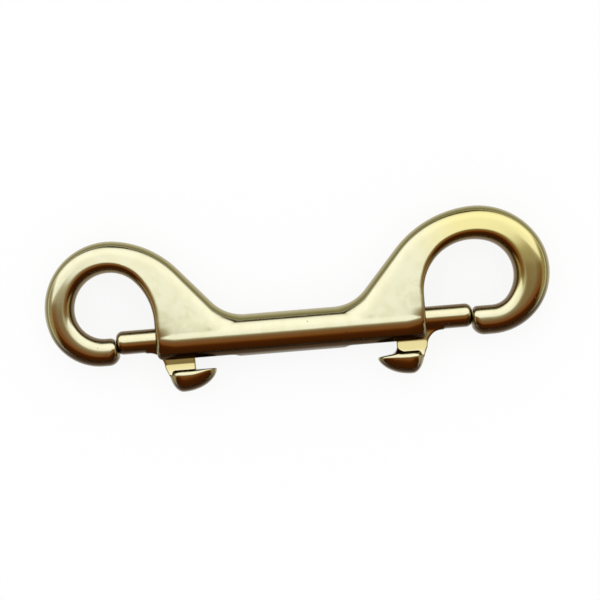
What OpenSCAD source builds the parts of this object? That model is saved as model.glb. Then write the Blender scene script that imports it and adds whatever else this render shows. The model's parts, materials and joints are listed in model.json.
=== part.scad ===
// Double ended bolt snap: one cast body with a barrel and an open ring at each end,
// closed by two spring loaded bolts that slide back into the barrel.
// It lies on its side: X runs along the barrel, Y from the thumb lugs to the rings,
// and Z is up. Each side is drawn with X pointing away from the middle of the barrel.

/* [Barrel] */
// Length of the barrel from mouth to mouth
barrel_len = 48; // [44:0.1:60]
// Diameter of the barrel
barrel_d = 7.4; // [6.8:0.1:9]
// Rounding of the edge at each mouth
mouth_round = 1; // [0.2:0.1:1.2]

/* [Necks] */
// Slope of a neck's outer edge above the barrel, in degrees
neck_slope = 48.6; // [40:0.1:56]
// Distance from the barrel's mouth back to where that edge would meet the barrel's axis
neck_run = 15.9; // [14:0.1:18]
// Thickness of a neck at the barrel's axis, from which it tapers to the ring's thickness
neck_t = 7.3; // [6:0.1:7.3]
// Squareness of a neck's section, where 2 is an ellipse
neck_square = 4.4; // [2:0.1:6]
// Radius of the hollow between a neck's outer edge and the top of the barrel
foot_hollow = 6; // [2:0.5:8]

/* [Left ring] */
// Height at which the left eye's inner edge leaves the straight mouth of the barrel
left_rise = 3.5; // [2.5:0.1:5]
// Radii of the left eye, from the neck round to the far side
left_eye_r = [10.6, 6.4]; // [5:0.1:14]
// Turns of the left eye through those radii, in degrees
left_eye_turn = [46, 134]; // [30:1:160]
// Length of the left neck's straight outer edge
left_neck_len = 16.9; // [15:0.1:20]
// Radii of the left ring's outside, from the neck round to the far side
left_ring_r = [17.4, 11.8]; // [10:0.1:25]
// Turns of the left ring's outside through those radii, in degrees
left_ring_turn = [41, 115]; // [30:1:130]
// Thickness of the left ring
left_ring_t = 5.4; // [4:0.1:6.5]
// Width of the left gate, from the barrel's mouth to the end of the nose
left_gate = 7.15; // [6:0.05:9]
// Height of the left nose's upper edge over the barrel's axis
left_nose_top = 1.3; // [0.6:0.1:2]
// Depth of the left nose, from its upper edge down to its lower edge
left_nose_depth = 4.9; // [4.2:0.1:5.6]
// How far the left nose's lower lip reaches in under the bolt
left_lip = 0.9; // [0:0.1:1.2]

/* [Right ring] */
// Height at which the right eye's inner edge leaves the straight mouth of the barrel
right_rise = 4.5; // [3.5:0.1:5.5]
// Radii of the right eye, from the neck round to the far side
right_eye_r = [9.15, 6.35]; // [5:0.05:14]
// Turns of the right eye through those radii, in degrees
right_eye_turn = [106.5, 113]; // [60:0.5:130]
// Length of the right neck's straight outer edge
right_neck_len = 17.4; // [15:0.1:20]
// Radii of the right ring's outside, from the neck round to the far side
right_ring_r = [19.5, 13.1]; // [10:0.1:25]
// Turns of the right ring's outside through those radii, in degrees
right_ring_turn = [46, 64]; // [30:1:90]
// Thickness of the right ring
right_ring_t = 5.7; // [4.5:0.1:7]
// Width of the right gate, from the barrel's mouth to the end of the nose
right_gate = 8.35; // [7:0.05:10]
// Height of the right nose's upper edge over the barrel's axis
right_nose_top = 1.8; // [1:0.1:2.2]
// Depth of the right nose, from its upper edge down to its lower edge
right_nose_depth = 5.2; // [4.4:0.1:5.8]
// How far the right nose's lower lip reaches in under the bolt
right_lip = 0.4; // [0:0.1:1.2]

/* [Noses] */
// Rounding of a nose's end along its upper edge
nose_round = 0.8; // [0.2:0.1:1.2]
// Rounding of a nose's end along its lower edge
chin_round = 2; // [0.6:0.1:2.2]

/* [Bolts] */
// Diameter of a bolt's rod
bolt_d = 4.2; // [3.6:0.1:4.6]
// Rounding of a bolt's tip
tip_round = 1.3; // [0.4:0.1:1.7]
// Length of a bolt's rod from its tip to its tail
bolt_len = 15.9; // [15:0.1:18]
// Height of the bores over the barrel's axis
bore_rise = 0.3; // [0:0.05:0.5]
// Gap round a bolt in its bore
bore_gap = 0.1; // [0.05:0.01:0.2]
// Gap between a bolt's tip and its seat in the nose
seat_gap = 0.1; // [0.05:0.05:0.3]
// Diameter of the peg on a bolt's tail, which holds the spring
peg_d = 2.3; // [1.6:0.1:2.6]
// Length of that peg
peg_len = 1.6; // [0.8:0.1:2.4]

/* [Thumb lugs] */
// Distance from a bolt's tip to the back of its lug's web
web_back = 13.8; // [12.5:0.1:14.5]
// Thickness of the web
web_t = 2.2; // [1.6:0.1:2.6]
// Radius of the hollow between the web's front edge and the rod
web_fillet = 3.4; // [2:0.1:3.6]
// Distance from a bolt's tip to the front of the thumb piece
thumb_front = 8.4; // [7.5:0.1:9.2]
// Distance from a bolt's tip to the lowest point of the thumb piece
thumb_low_x = 11.4; // [10.4:0.1:12.4]
// Distance from a bolt's tip to the back point of the thumb piece
thumb_back = 17.5; // [16:0.1:18.5]
// Depth of the thumb piece's flat top under the bolt's axis
thumb_top = 5.75; // [5:0.05:6.5]
// Depth of the thumb piece's lowest point under the bolt's axis
thumb_bottom = 9.55; // [8.5:0.05:10.5]
// Width of the thumb piece across the bolt
thumb_w = 6; // [4:0.1:7]
// Rounding of the rim round the thumb piece's flat top
thumb_rim = 0.5; // [0.2:0.1:1]
// Gap on each side of the web in its slot
slot_gap = 0.2; // [0.1:0.05:0.4]
// Gap between the web's corners and the round end of its slot when the bolt is drawn back
slot_end_gap = 0.1; // [0.05:0.05:1]

/* [Springs] */
// Wire diameter of a spring
wire_d = 0.5; // [0.3:0.05:0.6]
// Diameter over the coils of a spring
spring_d = 3.8; // [3.3:0.1:4]
// Number of turns in a spring
spring_turns = 8.5; // [5:0.5:9]
// Length of a spring when its bolt is closed
spring_len = 13; // [12:0.1:14]

/* [Hidden] */
$fn = 64;

brass = "#d9b44a";
steel = "#a9adb0";

barrel_r = barrel_d / 2;
barrel_half = barrel_len / 2;
bore_r = bolt_d / 2 + bore_gap;
slot_r = web_t / 2 + slot_gap;
left_nose_x = barrel_half + left_gate;
right_nose_x = barrel_half + right_gate;

// How much of a drawn bolt's tip still shows at the mouth
tip_proud = 0.1;
// How far a bolt slides back from its nose
function travel(nose_x) = nose_x - barrel_half - tip_proud;
// Where a bolt's tail is when the bolt is closed
function tail_x(nose_x) = nose_x - bolt_len;
// Where the round end of a bolt's slot is, so that it clears the corners of the drawn web
function slot_end(nose_x) = nose_x - web_back - travel(nose_x) - slot_end_gap
    - slot_r + sqrt(slot_r * slot_r - web_t * web_t / 4);

// Room that a cutting shape runs past what it cuts
over = 1;

// Bends and rails
// A leg is [radius, turn] for a bend to the right, or [0, length] for a straight.
function leg_len(leg) = leg[0] == 0 ? leg[1] : leg[0] * leg[1] * PI / 180;
function leg_turn(leg) = leg[0] == 0 ? 0 : leg[1];
function leg_part(leg, s) = leg[0] == 0 ? [0, s] : [leg[0], s * 180 / PI / leg[0]];
function leg_end(p, h, leg) = leg[0] == 0
    ? p + leg[1] * [cos(h), sin(h)]
    : p + leg[0] * [sin(h) - sin(h - leg[1]), cos(h - leg[1]) - cos(h)];

// The point at a length s along the legs, from the point p at the heading h
function point_at(p, h, legs, s, i = 0) =
    let (whole = leg_len(legs[i]))
    s > whole && i < len(legs) - 1
        ? point_at(leg_end(p, h, legs[i]), h - leg_turn(legs[i]), legs, s - whole, i + 1)
        : leg_end(p, h, leg_part(legs[i], s));

// The length along the legs at which the heading has come round to aim
function length_to(h, legs, aim, i = 0) =
    let (after = h - leg_turn(legs[i]))
    after < aim + 0.001
        ? leg_len([legs[i][0], h - aim])
        : leg_len(legs[i]) + length_to(after, legs, aim, i + 1);

// Closes a rail: a last bend comes level at the height y, and a straight runs on to x
function closed_rail(p, h, legs, x, y) =
    let (q = point_at(p, h, legs, total(legs)))
    let (out = h - total_turn(legs))
    let (r = (q[1] - y) / (1 + cos(out)))
    let (curl = [r, out + 180])
    let (end = leg_end(q, out, curl))
    concat(legs, [curl, [0, end[0] - x]]);
function total(legs, i = 0) = i == len(legs) ? 0 : leg_len(legs[i]) + total(legs, i + 1);
function total_turn(legs, i = 0) = i == len(legs) ? 0 : leg_turn(legs[i]) + total_turn(legs, i + 1);

// What the two rings are made from, one row for each:
// rise, eye radii, eye turns, neck length, ring radii, ring turns, thickness,
// and the nose's x, top, depth and lip
left_ring = [left_rise, left_eye_r, left_eye_turn, left_neck_len, left_ring_r, left_ring_turn,
    left_ring_t, left_nose_x, left_nose_top, left_nose_depth, left_lip];
right_ring = [right_rise, right_eye_r, right_eye_turn, right_neck_len, right_ring_r, right_ring_turn,
    right_ring_t, right_nose_x, right_nose_top, right_nose_depth, right_lip];

eye_start = [barrel_half, 0];
eye_heading = 90;
edge_start = [barrel_half - neck_run, 0];
function eye_legs(g) = closed_rail(eye_start, eye_heading,
    [[0, g[0]], [g[1][0], g[2][0]], [g[1][1], g[2][1]]], g[7], g[8]);
function edge_legs(g) = closed_rail(edge_start, neck_slope,
    [[0, g[3]], [g[4][0], g[5][0]], [g[4][1], g[5][1]]], g[7] - g[10], g[8] - g[9]);

// Lengths along each rail at the root, the waist, the top, the far side, the bottom and the nose
function eye_marks(g) =
    let (legs = eye_legs(g))
    [0, g[0], length_to(eye_heading, legs, 0), length_to(eye_heading, legs, -90),
        length_to(eye_heading, legs, -180), total(legs)];
function edge_marks(g) =
    let (legs = edge_legs(g))
    [0, g[0] / sin(neck_slope), length_to(neck_slope, legs, 0), length_to(neck_slope, legs, -90),
        length_to(neck_slope, legs, -180), total(legs)];

// Squareness of the section at the same six places
ring_square = [neck_square, neck_square, 2.6, 2.2, 2.1, 2.1];

function ease(t) = t * t * (3 - 2 * t);
function mix(a, b, t) = a + (b - a) * t;

// Sections between two of the six places
zone_steps = [3, 13, 12, 9, 1];
// Points round a section, and sections round the rounded end of the nose
section_points = 24;
end_steps = 4;

// The points of the two rails at a share t of the way through a zone
function eye_point(g, zone, t) =
    point_at(eye_start, eye_heading, eye_legs(g), mix(eye_marks(g)[zone], eye_marks(g)[zone + 1], t));
function edge_point(g, zone, t) =
    point_at(edge_start, neck_slope, edge_legs(g), mix(edge_marks(g)[zone], edge_marks(g)[zone + 1], t));

// Half thickness: a taper up the neck, then the ring's own all the way round
neck_zones = 2;
function half_thick(g, zone, height) =
    let (top = (eye_point(g, neck_zones, 0) + edge_point(g, neck_zones, 0))[1] / 2)
    zone < neck_zones ? mix(neck_t, g[6], height / top) / 2 : g[6] / 2;

// A section is [middle, direction across, half width, half thickness, squareness]
function section(g, zone, t) =
    let (inner = eye_point(g, zone, t))
    let (outer = edge_point(g, zone, t))
    let (middle = (inner + outer) / 2)
    let (wide = norm(outer - inner))
    [middle, (outer - inner) / wide, wide / 2, half_thick(g, zone, middle[1]),
        mix(ring_square[zone], ring_square[zone + 1], ease(t))];

// A section of the rounded end, a degrees round it from the side to the face
function end_section(s, heading, a) =
    let (back = 1 - sin(a))
    let (inset = 1 - cos(a))
    let (upper = s[0] - s[1] * (s[2] - nose_round * inset) - heading * nose_round * back)
    let (lower = s[0] + s[1] * (s[2] - chin_round * inset) - heading * chin_round * back)
    let (wide = norm(lower - upper))
    [(upper + lower) / 2, (lower - upper) / wide, wide / 2, s[3] - (nose_round + chin_round) / 2 * inset, s[4]];

function ring_sections(g) =
    let (last = len(zone_steps) - 1)
    let (nose = section(g, last, 1))
    let (heading = [nose[1][1], -nose[1][0]])
    concat(
        [for (zone = [0:last], i = [0:zone_steps[zone] - 1]) section(g, zone, i / zone_steps[zone])],
        [for (i = [0:end_steps]) end_section(nose, heading, 90 * i / end_steps)]);

function signed_power(v, e) = sign(v) * pow(abs(v), e);
function section_ring(s) = [for (k = [0:section_points - 1])
    let (a = 360 * k / section_points)
    let (across = s[2] * signed_power(cos(a), 2 / s[4]))
    [s[0][0] + s[1][0] * across, s[0][1] + s[1][1] * across, s[3] * signed_power(sin(a), 2 / s[4])]];

// A closed skin through rings of points that all have the same count
module loft(rings) {
    count = len(rings[0]);
    last = len(rings) - 1;
    function at(ring, k) = ring * count + k % count;
    polyhedron(
        points = [for (ring = rings, p = ring) p],
        faces = concat(
            [[for (k = [0:count - 1]) at(0, k)]],
            [for (ring = [0:last - 1], k = [0:count - 1], half = [0, 1])
                half == 0
                    ? [at(ring, k), at(ring + 1, k), at(ring + 1, k + 1)]
                    : [at(ring, k), at(ring + 1, k + 1), at(ring, k + 1)]],
            [[for (k = [count - 1:-1:0]) at(last, k)]]),
        convexity = 6);
}

// Turns a shape drawn round Z so that its axis lies along X
module along_x() {
    rotate([90, 0, 90]) children();
}

// A round bar along X whose far end, at x = 0, has a rounded edge
module round_bar(r, length, edge) {
    along_x() rotate_extrude() {
        translate([0, -length]) square([r, length - edge]);
        translate([0, -length]) square([r - edge, length]);
        translate([r - edge, -edge]) intersection() {
            circle(edge);
            square(edge);
        }
    }
}

module barrel() {
    for (side = [0, 1]) mirror([side, 0, 0])
        translate([barrel_half, 0, 0]) round_bar(barrel_r, barrel_half + 0.5, mouth_round);
}

// Bore, slot and nose seat that one bolt needs, for a nose that ends at nose_x
module bolt_room(nose_x) {
    tail = tail_x(nose_x);
    bottom = tail - spring_len;
    slot_middle = slot_end(nose_x) + slot_r;
    translate([0, bore_rise, 0]) {
        translate([bottom, 0, 0]) rotate([0, 90, 0]) cylinder(r = bore_r, h = barrel_half - bottom + over);
        translate([nose_x + seat_gap, 0, 0])
            round_bar(bolt_d / 2 + seat_gap, nose_x - barrel_half, tip_round + seat_gap);
    }
    translate([slot_middle, -barrel_d, -slot_r])
        cube([barrel_half + over - slot_middle, barrel_d + bore_rise, 2 * slot_r]);
    translate([slot_middle, bore_rise, 0]) rotate([90, 0, 0]) cylinder(r = slot_r, h = barrel_d + bore_rise);
}

// Bolt with its tip at the origin, pointing along X, and its lug towards -Y
module bolt() {
    round_bar(bolt_d / 2, bolt_len, tip_round);
    translate([-bolt_len, 0, 0]) rotate([0, -90, 0]) cylinder(d = peg_d, h = peg_len);
    linear_extrude(web_t, center = true) web_outline();
    loft(thumb_rings());
}

// Side view of the web, from inside the rod down into the thumb piece
module web_outline() {
    fillet_x = thumb_front - web_fillet;
    difference() {
        translate([-web_back, -thumb_top - thumb_rim])
            square([web_back - fillet_x, thumb_top + thumb_rim]);
        translate([-fillet_x, -bolt_d / 2 - web_fillet]) circle(web_fillet);
        translate([-thumb_front, -thumb_top - 2 * thumb_rim])
            square([web_fillet + over, thumb_top + 2 * thumb_rim - bolt_d / 2 - web_fillet]);
    }
}

// The thumb piece is a boat shape: a flat top, a round belly, and a point at the back
thumb_steps = 16;
thumb_points = 20;
belly = 1.8;
plan = 2.6;
thumb_end_angle = 9;
function thumb_rings() = [for (i = [0:thumb_steps])
    let (a = thumb_end_angle + (180 - 2 * thumb_end_angle) * i / thumb_steps)
    let (front = cos(a) > 0)
    let (x = -thumb_low_x + cos(a) * (front ? thumb_low_x - thumb_front : thumb_back - thumb_low_x))
    let (deep = (thumb_bottom - thumb_top) * pow(sin(a), 2 / belly))
    let (rim = min(thumb_rim, deep / 2))
    let (half = thumb_w / 2 * pow(sin(a), 2 / plan))
    [for (k = [0:thumb_points - 1])
        let (b = 360 * k / thumb_points)
        let (y = sin(b) > 0 ? rim * signed_power(sin(b), 0.6) : (deep - rim) * signed_power(sin(b), 1.1))
        [x, -thumb_top - rim + y, half * signed_power(cos(b), 0.8)]]];

// Helical spring along X from the origin, with a closed turn at each end
spring_steps = 16;
wire_points = 6;
closed_turns = 0.8;
function spring_x(turn, length) =
    let (open = spring_turns - 2 * closed_turns)
    let (low = wire_d / 2 + wire_d * min(turn, closed_turns))
    let (rise = length - wire_d * (1 + 2 * closed_turns))
    low + rise * max(0, min(1, (turn - closed_turns) / open))
        + wire_d * max(0, turn - closed_turns - open);
module spring(length) {
    coil_r = (spring_d - wire_d) / 2;
    loft([for (i = [0:spring_steps * spring_turns])
        let (turn = i / spring_steps)
        let (a = 360 * turn)
        [for (k = [0:wire_points - 1])
            let (b = -360 * k / wire_points)
            let (r = coil_r + wire_d / 2 * cos(b))
            [spring_x(turn, length) + wire_d / 2 * sin(b), r * cos(a), r * sin(a)]]]);
}

module ring_body(g) {
    loft([for (s = ring_sections(g)) section_ring(s)]);
    foot_fillet();
}

// Fills the corner between a neck's outer edge and the top of the barrel: its sections turn
// from the barrel's round one to a flatter one that lies within the neck
foot_steps = 6;
foot_inset = 0.02;
foot_half_t = 3.2;
foot_square = 3;
module foot_fillet() {
    corner = edge_start + barrel_r / sin(neck_slope) * [cos(neck_slope), sin(neck_slope)];
    centre = corner + [-foot_hollow * tan(neck_slope / 2), foot_hollow];
    loft([for (i = [0:foot_steps])
        let (turned = ease(i / foot_steps))
        let (a = neck_slope * i / foot_steps)
        let (out = [-sin(a), cos(a)])
        let (half = barrel_r - foot_inset)
        let (thick = mix(half, foot_half_t, turned))
        section_ring([centre - (foot_hollow + barrel_r) * out, out, half, thick, mix(2, foot_square, turned)])]);
}

// The box round the whole part, worked out from the rings' outer rails
left_reach = edge_point(left_ring, 3, 0)[0];
right_reach = edge_point(right_ring, 3, 0)[0];
top_y = max(edge_point(left_ring, 2, 0)[1], edge_point(right_ring, 2, 0)[1]);
low_y = bore_rise - thumb_bottom;
middle = [(right_reach - left_reach) / 2, (top_y + low_y) / 2, 0];

// Puts the origin under the middle of the part, at the level that it lies on
module lying() {
    translate([0, 0, barrel_r] - middle) children();
}

module on_left() {
    lying() mirror([1, 0, 0]) children();
}

module body() {
    color(brass) lying() difference() {
        union() {
            barrel();
            ring_body(right_ring);
            mirror([1, 0, 0]) ring_body(left_ring);
        }
        bolt_room(right_nose_x);
        mirror([1, 0, 0]) bolt_room(left_nose_x);
    }
}

module left_bolt() {
    color(brass) on_left() translate([left_nose_x, bore_rise, 0]) bolt();
}

module right_bolt() {
    color(brass) lying() translate([right_nose_x, bore_rise, 0]) bolt();
}

module left_spring() {
    color(steel) on_left() translate([tail_x(left_nose_x) - spring_len, bore_rise, 0]) spring(spring_len);
}

module right_spring() {
    color(steel) lying() translate([tail_x(right_nose_x) - spring_len, bore_rise, 0]) spring(spring_len);
}

body();
left_bolt();
right_bolt();
left_spring();
right_spring();
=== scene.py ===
import json
import math

import bpy
import numpy as np
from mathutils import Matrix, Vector

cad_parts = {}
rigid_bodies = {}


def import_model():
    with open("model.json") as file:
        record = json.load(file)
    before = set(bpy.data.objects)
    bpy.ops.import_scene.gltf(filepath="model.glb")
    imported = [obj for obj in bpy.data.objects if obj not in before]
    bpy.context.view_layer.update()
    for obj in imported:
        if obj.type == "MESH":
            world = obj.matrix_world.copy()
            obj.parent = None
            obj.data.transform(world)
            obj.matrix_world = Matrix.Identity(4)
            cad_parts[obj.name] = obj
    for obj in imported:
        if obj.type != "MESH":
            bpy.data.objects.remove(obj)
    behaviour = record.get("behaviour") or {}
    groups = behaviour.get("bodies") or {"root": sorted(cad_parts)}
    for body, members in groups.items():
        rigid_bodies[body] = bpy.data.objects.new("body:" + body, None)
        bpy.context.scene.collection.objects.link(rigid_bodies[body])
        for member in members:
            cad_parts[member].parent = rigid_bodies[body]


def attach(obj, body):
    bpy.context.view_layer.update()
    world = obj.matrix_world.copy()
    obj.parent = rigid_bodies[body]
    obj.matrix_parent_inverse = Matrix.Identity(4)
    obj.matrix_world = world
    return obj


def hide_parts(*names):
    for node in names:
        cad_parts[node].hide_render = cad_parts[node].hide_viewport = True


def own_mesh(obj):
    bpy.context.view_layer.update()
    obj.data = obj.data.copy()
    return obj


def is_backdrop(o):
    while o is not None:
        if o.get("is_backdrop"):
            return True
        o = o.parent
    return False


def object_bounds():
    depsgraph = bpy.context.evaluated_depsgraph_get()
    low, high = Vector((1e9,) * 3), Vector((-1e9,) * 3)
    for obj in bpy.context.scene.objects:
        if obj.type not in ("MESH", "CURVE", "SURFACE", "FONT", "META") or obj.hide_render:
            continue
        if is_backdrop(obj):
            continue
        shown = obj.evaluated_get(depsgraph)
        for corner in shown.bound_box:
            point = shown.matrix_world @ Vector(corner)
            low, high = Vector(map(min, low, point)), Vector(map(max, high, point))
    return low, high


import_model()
cadBox = [list(corner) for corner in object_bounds()]
scene = bpy.context.scene
print("frame loaded, box in mm:", [[round(v * 1000, 2) for v in corner] for corner in cadBox])

# All shapes are worked out in mm, with x running outwards from the middle of the barrel,
# y from the thumb lugs towards the rings and z up from the barrel's axis.

cameraSetup = {
    "distance": 0.46,      # m above the part's middle plane
    "turn": -4.65,         # degrees that the frame is turned on the part
    "pixelsPerMm": 5.622,  # in a frame of 600 pixels
    "frameAcross": 600,
    "lookAt": (0.338, 0.196),  # mm along the picture's own axes from the part's origin
}


def makeCamera(setup):
    data = bpy.data.cameras.new("camera")
    camera = bpy.data.objects.new("camera", data)
    scene.collection.objects.link(camera)
    turn = math.radians(setup["turn"])
    right = Vector((math.cos(turn), math.sin(turn), 0))
    up = Vector((-math.sin(turn), math.cos(turn), 0))
    middle = (right * setup["lookAt"][0] + up * setup["lookAt"][1]) / 1000
    planeZ = (cadBox[0][2] + cadBox[1][2]) / 2
    camera.location = (middle.x, middle.y, planeZ + setup["distance"])
    camera.rotation_euler = (0, 0, turn)
    across = setup["frameAcross"] / setup["pixelsPerMm"] / 1000
    data.sensor_width = 36
    data.lens = data.sensor_width * setup["distance"] / across
    data.clip_start = 0.01
    data.clip_end = 50
    scene.camera = camera


makeCamera(cameraSetup)
print("camera set")

# Barrel, necks and rings

barrel = {
    "half": 24.0,              # from the middle to a mouth
    "radius": 3.697,
    "mouthRound": 1.0,
    "mouthFall": (3.4, 0.55),  # length over which the crown falls to the mouth, and how much
    "fallPower": 1.7,
    "fallHeights": (2.6, -2.2),  # none at the first y, all of it at the second
    "fallRim": 3.0,            # z at which the tube has fallen as much as the face beside it
    "boreRise": 0.3, "boreRadius": 2.2, "boreTo": 27.0,
    "seatGap": 0.1, "seatRound": 1.4,
    "slotHalf": 1.3, "slotTo": 26.0,
    "slotEnd": 9.59,           # where a slot's round end is
    "edge": 0.3,               # rounding of the edges of holes
}
thumbBottom = 9.55             # how far a thumb piece reaches below its bolt's axis

leftRing = {
    "side": -1,
    "rise": 3.5, "eyeRadii": (10.6, 6.4), "eyeTurns": (46, 134),
    "neckLength": 16.9, "ringRadii": (17.4, 11.8), "ringTurns": (41, 115),
    "thickness": 5.3, "taper": 3.3, "waistRound": 1.0,
    "noseX": 31.15, "noseTop": 1.3, "noseDepth": 4.9, "lip": 0.9, "boreBottom": 2.25,
}
rightRing = {
    "side": 1,
    "rise": 4.5, "eyeRadii": (9.15, 6.35), "eyeTurns": (106.5, 113),
    "neckLength": 17.4, "ringRadii": (19.5, 13.1), "ringTurns": (46, 64),
    "thickness": 5.6, "taper": 4.0, "waistRound": 0.7,
    "noseX": 32.35, "noseTop": 1.8, "noseDepth": 5.2, "lip": 0.4, "boreBottom": 3.45,
}
neckShape = {
    "foot": 8.1,           # where the outer edge would meet the barrel's axis
    "slope": 48.6,
    "footFillet": (2.7, 0.7),  # the hollow at the foot, at mid height and at the faces
    "footHalf": 3.3, "footHeights": (0.8, 2.6), "footEnds": (17, 14),
    "cutBelow": 0.3, "cutTo": 26,
    "noseRound": 1.0, "chinRound": 2.4, "chinShare": (0.2, 0.9),
    "noseFrom": (27, 5),   # the nose's end is cut where x is over the first and y under the second
    "outRound": 0.94,      # of the half thickness
    "crestRound": 0.15,
    # between these marks the neck thins to the ring, and the waist's inner round fades out
    "thinMarks": (1.5, 2.5), "waistMarks": (1.7, 1.0),
    # at the root, waist, top, far side, bottom and nose: the fall of the face towards the
    # outside in degrees and where it starts, and the round of the inner edge and its extra height
    "fall": (0, 0.5, 6, 5, 0, 0),
    "crestAt": (0.5, 0.8, 1.75, 1.7, 2.4, 2.4),
    "inRound": (1.0, 1.0, 2.6, 2.6, 2.35, 2.35),
    "inRise": (0, 0, 0.22, 0.16, 0, 0),
}


railStep = 0.05


def walkLegs(start, heading, legs):
    # a leg is (radius, turn to the right) or (0, length); gives points, headings and lengths
    px, py, h, run = start[0], start[1], math.radians(heading), 0.0
    points, headings, lengths = [], [], []
    for radius, size in legs:
        length = size if radius == 0 else radius * math.radians(size)
        count = max(1, round(length / railStep))
        s = np.arange(count + 1) * length / count
        if radius == 0:
            x, y, g = px + s * math.cos(h), py + s * math.sin(h), np.full(count + 1, h)
        else:
            g = h - s / radius
            x = px + radius * (math.sin(h) - np.sin(g))
            y = py + radius * (np.cos(g) - math.cos(h))
        points.append(np.stack([x, y], 1)[:-1])
        headings.append(g[:-1])
        lengths.append(run + s[:-1])
        px, py, h, run = x[-1], y[-1], g[-1], run + length
    points.append(np.array([[px, py]]))
    headings.append(np.array([h]))
    lengths.append(np.array([run]))
    return np.concatenate(points), np.concatenate(headings), np.concatenate(lengths)


def closeLegs(start, heading, legs, x, y):
    # a last bend comes level at the height y, and a straight runs on to x
    points, headings, lengths = walkLegs(start, heading, legs)
    end, out = points[-1], math.degrees(headings[-1])
    radius = (end[1] - y) / (1 + math.cos(math.radians(out)))
    curled = walkLegs(end, out, [(radius, out + 180)])[0][-1]
    return list(legs) + [(radius, out + 180), (0, curled[0] - x)]


def makeRail(start, heading, legs, waist, lead=3.0):
    # a rail with its points, right-hand normals and mark numbers, run on straight at both ends
    points, headings, lengths = walkLegs(start, heading, legs)
    turned = np.degrees(headings)
    turns = [lengths[np.argmax(turned <= aim + 0.01)] for aim in (0, -90, -180)]
    marks = [0, waist] + turns + [lengths[-1]]
    before = np.arange(-lead, 0, railStep)[:, None]
    after = np.arange(railStep, lead, railStep)[:, None]
    first = np.array([math.cos(headings[0]), math.sin(headings[0])])
    last = np.array([math.cos(headings[-1]), math.sin(headings[-1])])
    points = np.concatenate([points[0] + before * first, points, points[-1] + after * last])
    headings = np.pad(headings, (len(before), len(after)), mode="edge")
    lengths = np.concatenate([before[:, 0], lengths, lengths[-1] + after[:, 0]])
    numbers = np.interp(lengths, [marks[0] - 1] + marks + [marks[-1] + 1], [-1, 0, 1, 2, 3, 4, 5, 6])
    normals = np.stack([np.sin(headings), -np.cos(headings)], 1)
    return {"points": points, "normals": normals, "numbers": numbers,
            "lengths": lengths, "marks": marks}


def nearestOn(rail, x, y, low, high, batch=4000):
    # signed distance to the right of the rail, and the mark number, from samples in a run
    keep = (rail["lengths"] >= low) & (rail["lengths"] <= high)
    points = rail["points"][keep].astype(np.float32)
    normals, numbers = rail["normals"][keep], rail["numbers"][keep]
    distance, number = np.empty(len(x)), np.empty(len(x))
    for i in range(0, len(x), batch):
        part = slice(i, i + batch)
        offX = x[part, None].astype(np.float32) - points[:, 0]
        offY = y[part, None].astype(np.float32) - points[:, 1]
        k = (offX ** 2 + offY ** 2).argmin(1)
        distance[part] = (x[part] - points[k, 0]) * normals[k, 0] + (y[part] - points[k, 1]) * normals[k, 1]
        number[part] = numbers[k]
    return distance, number


maps = {
    "step": 0.12, "from": (3, -6), "room": 2,
    "noseFrom": (28, 7.0),  # with a larger x and a smaller y, a place belongs to the nose's side
    "before": -9,           # how far back a rail is searched, and how far past its far side
    "past": 4,
}


def makeMaps(ring):
    # tables over x and y of the distances to both rails and of the place round the ring
    eyeLegs = closeLegs((barrel["half"], 0), 90,
                        [(0, ring["rise"])] + list(zip(ring["eyeRadii"], ring["eyeTurns"])),
                        ring["noseX"], ring["noseTop"])
    edgeLegs = closeLegs((neckShape["foot"], 0), neckShape["slope"],
                         [(0, ring["neckLength"])] + list(zip(ring["ringRadii"], ring["ringTurns"])),
                         ring["noseX"] - ring["lip"], ring["noseTop"] - ring["noseDepth"])
    eye = makeRail((barrel["half"], 0), 90, eyeLegs, ring["rise"])
    edge = makeRail((neckShape["foot"], 0), neckShape["slope"], edgeLegs,
                    ring["rise"] / math.sin(math.radians(neckShape["slope"])))
    reach, top = edge["points"].max(0)
    xs = np.arange(maps["from"][0], reach + maps["room"], maps["step"])
    ys = np.arange(maps["from"][1], top + maps["room"], maps["step"])
    gx, gy = [g.ravel() for g in np.meshgrid(xs, ys, indexing="ij")]
    low = (gx > maps["noseFrom"][0]) & (gy < maps["noseFrom"][1])
    tables = {}
    for name, rail, sign in (("inner", eye, -1), ("outer", edge, 1)):
        far, end = rail["marks"][3], rail["lengths"][-1]
        distance, number = np.empty(len(gx)), np.empty(len(gx))
        distance[low], number[low] = nearestOn(rail, gx[low], gy[low], far - maps["past"], end)
        distance[~low], number[~low] = nearestOn(rail, gx[~low], gy[~low], maps["before"], far + maps["past"])
        tables[name] = (sign * distance).reshape(len(xs), len(ys))
        tables[name + "Number"] = number.reshape(len(xs), len(ys))
    ring["tables"] = tables
    ring["tableStart"] = (xs[0], ys[0])
    ends = [np.argmin(abs(rail["lengths"] - rail["marks"][5])) for rail in (eye, edge)]
    noseIn, noseOut = eye["points"][ends[0]], edge["points"][ends[1]]
    across = (noseOut - noseIn) / np.linalg.norm(noseOut - noseIn)
    ring["noseMiddle"] = (noseIn + noseOut) / 2
    ring["noseFacing"] = np.array([across[1], -across[0]])
    ring["reach"], ring["top"] = reach, top


for ring in (leftRing, rightRing):
    makeMaps(ring)
print("rails mapped, reaches", round(leftRing["reach"], 2), round(rightRing["reach"], 2))

smoothMarks = np.linspace(-1, 6, 701)
smoothOver = 31               # samples, a hundred to a mark


def smoothTable(values):
    # values at the six marks, eased so that no crease shows where they change
    table = np.interp(smoothMarks, [0, 1, 2, 3, 4, 5], values)
    room = smoothOver - 1
    padded = np.pad(table, room, mode="edge")
    for _ in range(2):
        padded = np.convolve(padded, np.ones(smoothOver) / smoothOver, mode="same")
    return padded[room:-room]


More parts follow.
